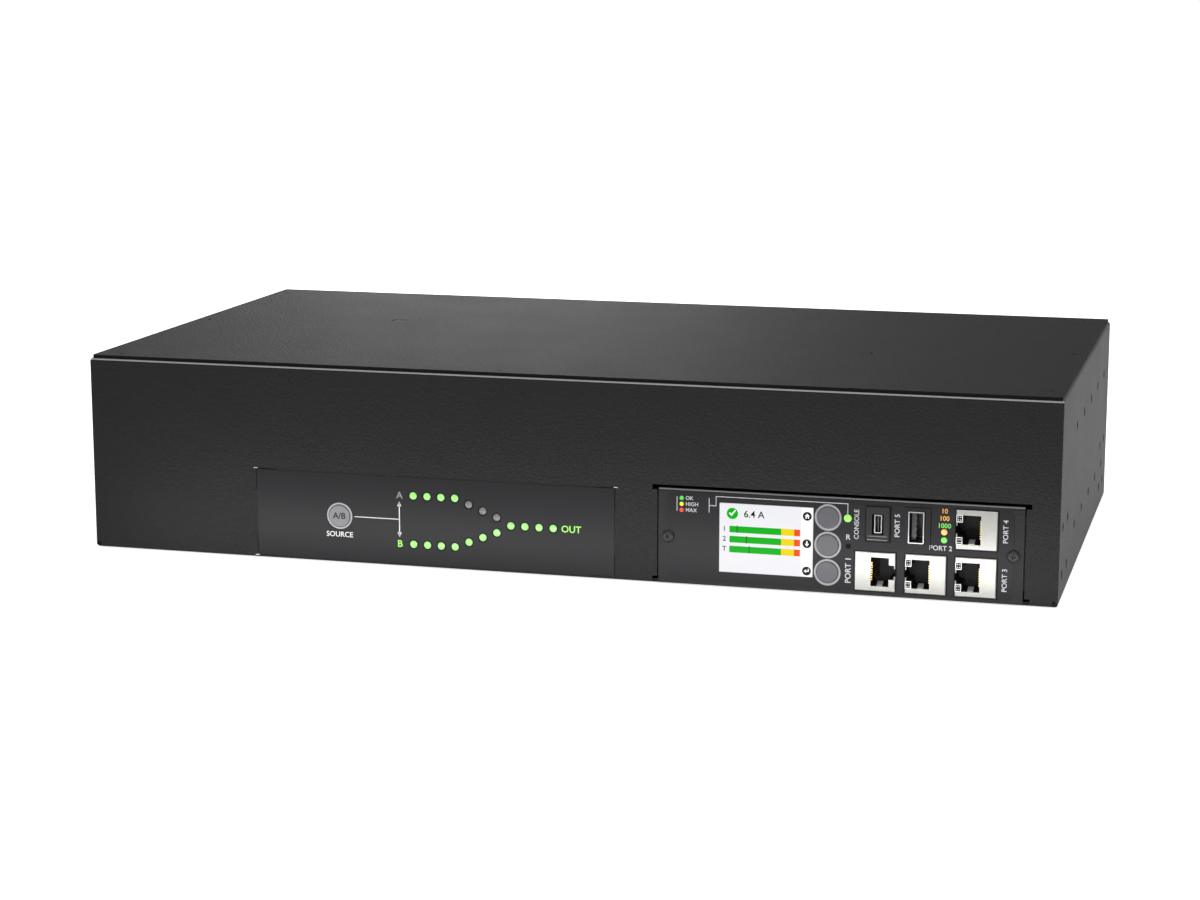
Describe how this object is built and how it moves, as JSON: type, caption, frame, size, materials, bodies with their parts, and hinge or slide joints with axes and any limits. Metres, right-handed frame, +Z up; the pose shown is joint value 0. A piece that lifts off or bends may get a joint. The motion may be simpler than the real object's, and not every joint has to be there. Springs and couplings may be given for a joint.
{
  "type": "rack automatic transfer switch",
  "caption": "Low wide steel box for a rack, with a status panel, a removable control module with display and sockets, outlet banks, breakers and cable glands at the rear.",
  "frame": {"origin": "middle of the flat base of the chassis", "axes": "+Z up, +X to the right as seen from the front, -Y towards the viewer of the front panel"},
  "size_m": [0.432, 0.2575, 0.088],
  "materials": {
    "black_powder_coat": "fine leathery powder coat",
    "module_coat": "fine powder coat",
    "black_steel": "blackened steel",
    "label_film": "smooth satin film",
    "overlay_film": "smooth satin film",
    "lamp_lens": "moulded lens",
    "green_lens": "moulded lens",
    "orange_lens": "moulded lens",
    "button_grey": "satin",
    "black_plastic": "moulded",
    "white_plastic": "moulded",
    "circuit_board": "solder mask over glass fibre",
    "plated_steel": "zinc or nickel plated",
    "display_glass": "lit display behind a clear window",
    "jack_shield": "nickel plated shield",
    "gold": "gold flashed",
    "outlet_plastic": "moulded nylon",
    "gland_plastic": "moulded nylon",
    "core_steel": "varnished laminations",
    "blue_plastic": "epoxy coated ring",
    "capacitor_sleeve": "shrink sleeve",
    "terminal_green": "moulded",
    "lead_black": "insulated core",
    "ribbon_grey": "flat cable"
  },
  "bodies": {
    "enclosure": {"chassis_tray": "black_powder_coat", "top_cover": "black_powder_coat", "cover_screws": "black_steel", "status_label": "label_film", "source_a_leds": "lamp_lens", "source_b_leds": "lamp_lens", "output_leds": "lamp_lens", "button_switches": "black_plastic", "status_board": "circuit_board", "module_faceplate": "module_coat", "module_label": "overlay_film", "module_screws": "black_steel", "module_board": "circuit_board", "module_posts": "plated_steel", "lcd_display": "display_glass", "lcd_holder": "black_plastic", "status_lamp": "green_lens", "activity_lamp": "orange_lens", "link_lamp": "green_lens", "reset_switch": "black_plastic", "universal_port_jack": "jack_shield", "link_a_jack": "jack_shield", "link_b_jack": "jack_shield", "network_jack": "jack_shield", "jack_contacts": "gold", "usb_port": "plated_steel", "console_bezel": "black_plastic", "console_port": "plated_steel", "bank_1_upper_outlets": "outlet_plastic", "bank_1_lower_outlets": "outlet_plastic", "bank_2_upper_outlets": "outlet_plastic", "bank_2_lower_outlets": "outlet_plastic", "upper_large_outlet": "outlet_plastic", "lower_large_outlet": "outlet_plastic", "bank_1_breaker": "black_plastic", "bank_2_breaker": "black_plastic", "source_a_gland": "gland_plastic", "source_b_gland": "gland_plastic", "gland_domes": "gland_plastic", "gland_locknuts": "gland_plastic", "ground_screw": "plated_steel", "power_board": "circuit_board", "board_standoffs": "plated_steel", "board_screws": "plated_steel", "insulating_sheet": "white_plastic", "transfer_relays": "black_plastic", "supply_transformers": "core_steel", "current_sensors": "blue_plastic", "storage_capacitors": "capacitor_sleeve", "terminal_blocks": "terminal_green", "output_leads": "lead_black", "board_headers": "white_plastic", "ribbon_cables": "ribbon_grey"},
    "preference_button": {"preference_button": "button_grey"},
    "home_button": {"home_button": "button_grey"},
    "scroll_button": {"scroll_button": "button_grey"},
    "enter_button": {"enter_button": "button_grey"},
    "reset_plunger": {"reset_plunger": "white_plastic"},
    "bank_1_breaker_handle": {"bank_1_breaker_handle": "white_plastic"},
    "bank_2_breaker_handle": {"bank_2_breaker_handle": "white_plastic"}
  },
  "joints": [
    {"name": "preference_button_press", "type": "slide", "parent": "enclosure", "child": "preference_button", "axis": [0, 1, 0], "range_m": [0, 0.0008], "stiffness_N_per_m": 1000, "springref_m": -0.0003},
    {"name": "home_button_press", "type": "slide", "parent": "enclosure", "child": "home_button", "axis": [0, 1, 0], "range_m": [0, 0.0008], "stiffness_N_per_m": 1000, "springref_m": -0.0003},
    {"name": "scroll_button_press", "type": "slide", "parent": "enclosure", "child": "scroll_button", "axis": [0, 1, 0], "range_m": [0, 0.0008], "stiffness_N_per_m": 1000, "springref_m": -0.0003},
    {"name": "enter_button_press", "type": "slide", "parent": "enclosure", "child": "enter_button", "axis": [0, 1, 0], "range_m": [0, 0.0008], "stiffness_N_per_m": 1000, "springref_m": -0.0003},
    {"name": "reset_press", "type": "slide", "parent": "enclosure", "child": "reset_plunger", "axis": [0, 1, 0], "range_m": [0, 0.0004], "stiffness_N_per_m": 1000, "springref_m": -0.0003},
    {"name": "bank_1_breaker_handle_swing", "type": "hinge", "parent": "enclosure", "child": "bank_1_breaker_handle", "pos_m": [0.158, 0.1125, 0.05], "axis": [1, 0, 0], "range_deg": [-44, 0]},
    {"name": "bank_2_breaker_handle_swing", "type": "hinge", "parent": "enclosure", "child": "bank_2_breaker_handle", "pos_m": [-0.187, 0.1125, 0.05], "axis": [1, 0, 0], "range_deg": [-44, 0]}
  ]
}
